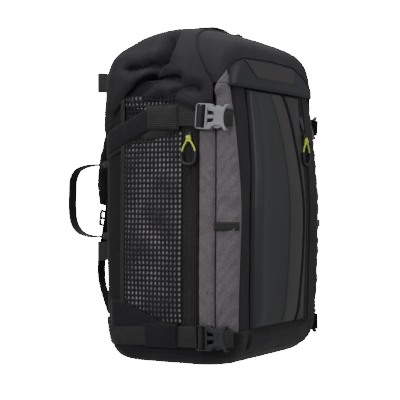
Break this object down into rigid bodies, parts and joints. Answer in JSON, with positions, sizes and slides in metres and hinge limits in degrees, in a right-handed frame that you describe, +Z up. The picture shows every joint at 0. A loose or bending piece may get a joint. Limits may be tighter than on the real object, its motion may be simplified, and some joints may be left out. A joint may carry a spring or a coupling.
{
  "type": "ski boot bag",
  "caption": "Tall boxy ski boot backpack with mesh boot pockets, zipped front door and domed lid, side-release straps, grab handles and shoulder straps.",
  "frame": {"origin": "centre of the flat base face that the bag stands on", "axes": "+Z up, -Y towards the front door, +Y towards the wearer's back, +X to the wearer's right side seen from the front"},
  "size_m": [0.365, 0.3636, 0.6171],
  "materials": {
    "black_fabric": "matt black woven nylon",
    "melange_fabric": "grey melange ripstop",
    "coated_fabric": "smooth coated black fabric",
    "mesh_fabric": "open knitted mesh over a lighter backing",
    "taupe_fabric": "smooth taupe coated fabric",
    "webbing": "ribbed nylon webbing",
    "pad_fabric": "padded spacer mesh",
    "zip_tape": "woven zip tape",
    "dark_plastic": "moulded acetal, dark grey",
    "grey_plastic": "moulded acetal, mid grey",
    "board_plastic": "polyethylene sheet",
    "stay_aluminium": "mill finish",
    "zip_metal": "black coated zinc",
    "pull_cord": "lime braided cord",
    "black_cord": "black braided cord",
    "grip_rubber": "soft black rubber"
  },
  "bodies": {
    "bag": {"back_pads": "pad_fabric", "back_panel": "black_fabric", "base_board": "board_plastic", "base_panel": "coated_fabric", "buckle_sockets": "grey_plastic", "corner_patches": "coated_fabric", "edge_loops": "webbing", "frame_sheet": "board_plastic", "frame_stays": "stay_aluminium", "gear_loops": "webbing", "hood_left": "black_fabric", "hood_rear": "black_fabric", "hood_right": "black_fabric", "left_boot_divider": "black_fabric", "left_front_strip": "black_fabric", "left_gusset": "melange_fabric", "left_mesh_panel": "mesh_fabric", "left_side_panel": "black_fabric", "lower_anchor_straps": "webbing", "lower_front_band": "coated_fabric", "right_boot_divider": "black_fabric", "right_front_strip": "black_fabric", "right_gusset": "melange_fabric", "right_mesh_panel": "mesh_fabric", "right_side_panel": "black_fabric", "side_zip_tapes": "zip_tape", "strap_keepers": "webbing", "upper_wings": "black_fabric"},
    "top_lid": {"lid": "black_fabric", "front_flap": "coated_fabric"},
    "front_door": {"front_door": "coated_fabric", "door_stripe": "taupe_fabric", "door_zip_tape": "zip_tape"},
    "left_slider": {"left_zip_slider": "zip_metal"},
    "left_pull": {"left_pull_cord": "pull_cord", "left_pull_grip": "grip_rubber"},
    "left_upper_clip": {"left_upper_buckle_clip": "dark_plastic", "left_upper_strap_web": "webbing"},
    "left_lower_clip": {"left_lower_buckle_clip": "dark_plastic", "left_lower_strap_web": "webbing"},
    "right_slider": {"right_zip_slider": "zip_metal"},
    "right_pull": {"right_pull_cord": "pull_cord", "right_pull_grip": "grip_rubber"},
    "right_upper_clip": {"right_upper_buckle_clip": "dark_plastic", "right_upper_strap_web": "webbing"},
    "right_lower_clip": {"right_lower_buckle_clip": "dark_plastic", "right_lower_strap_web": "webbing"},
    "door_slider": {"door_zip_slider": "zip_metal"},
    "door_pull": {"door_pull_cord": "pull_cord", "door_pull_grip": "grip_rubber"},
    "lid_slider": {"lid_zip_slider": "zip_metal"},
    "lid_pull": {"lid_pull_cord": "black_cord"},
    "side_handle": {"side_handle": "webbing"},
    "top_handle": {"top_handle": "webbing"},
    "left_strap": {"left_shoulder_strap": "pad_fabric", "left_strap_lock": "dark_plastic", "left_strap_webbing": "webbing"},
    "right_strap": {"right_shoulder_strap": "pad_fabric", "right_strap_lock": "dark_plastic", "right_strap_webbing": "webbing"}
  },
  "joints": [
    {"name": "lid_fold", "type": "hinge", "parent": "bag", "child": "top_lid", "pos_m": [0, -0.1425, 0.4865], "axis": [1, 0, 0], "range_deg": [0, 100]},
    {"name": "door_fold", "type": "hinge", "parent": "bag", "child": "front_door", "pos_m": [0, -0.1472, 0.0615], "axis": [1, 0, 0], "range_deg": [0, 90]},
    {"name": "left_zip_slide", "type": "slide", "parent": "bag", "child": "left_slider", "axis": [0, 0, 1], "range_m": [-0.26, 0]},
    {"name": "left_pull_swing", "type": "hinge", "parent": "left_slider", "child": "left_pull", "pos_m": [-0.1758, -0.057, 0.3995], "axis": [0, 1, 0], "range_deg": [0, 130]},
    {"name": "left_upper_clip_slide", "type": "slide", "parent": "bag", "child": "left_upper_clip", "axis": [0, 1, 0], "range_m": [0, 0.03]},
    {"name": "left_lower_clip_slide", "type": "slide", "parent": "bag", "child": "left_lower_clip", "axis": [0, 1, 0], "range_m": [0, 0.03]},
    {"name": "right_zip_slide", "type": "slide", "parent": "bag", "child": "right_slider", "axis": [0, 0, 1], "range_m": [-0.26, 0]},
    {"name": "right_pull_swing", "type": "hinge", "parent": "right_slider", "child": "right_pull", "pos_m": [0.1758, -0.057, 0.3995], "axis": [0, -1, 0], "range_deg": [0, 130]},
    {"name": "right_upper_clip_slide", "type": "slide", "parent": "bag", "child": "right_upper_clip", "axis": [0, 1, 0], "range_m": [0, 0.03]},
    {"name": "right_lower_clip_slide", "type": "slide", "parent": "bag", "child": "right_lower_clip", "axis": [0, 1, 0], "range_m": [0, 0.03]},
    {"name": "door_zip_slide", "type": "slide", "parent": "front_door", "child": "door_slider", "axis": [0, 0, 1], "range_m": [-0.32, 0.06]},
    {"name": "door_pull_swing", "type": "hinge", "parent": "door_slider", "child": "door_pull", "pos_m": [0.111, -0.15, 0.4045], "axis": [-1, 0, 0], "range_deg": [0, 130]},
    {"name": "lid_zip_slide", "type": "slide", "parent": "top_lid", "child": "lid_slider", "axis": [1, 0, 0], "range_m": [-0.111, 0]},
    {"name": "lid_pull_swing", "type": "hinge", "parent": "lid_slider", "child": "lid_pull", "pos_m": [0.0555, -0.0303, 0.6036], "axis": [-1, 0, 0], "range_deg": [0, 110]},
    {"name": "side_handle_swing", "type": "hinge", "parent": "bag", "child": "side_handle", "pos_m": [-0.1475, 0.131, 0.287], "axis": [0, 0, 1], "range_deg": [-4, 30]},
    {"name": "top_handle_flop", "type": "hinge", "parent": "bag", "child": "top_handle", "pos_m": [0, -0.01, 0.604], "axis": [1, 0, 0], "range_deg": [-5, 30]},
    {"name": "left_strap_sway", "type": "hinge", "parent": "bag", "child": "left_strap", "pos_m": [-0.062, 0.123, 0.478], "axis": [-0.1831, 0, -0.9831], "range_deg": [-14, 14]},
    {"name": "right_strap_sway", "type": "hinge", "parent": "bag", "child": "right_strap", "pos_m": [0.062, 0.123, 0.478], "axis": [0.1831, 0, -0.9831], "range_deg": [-14, 14]}
  ]
}
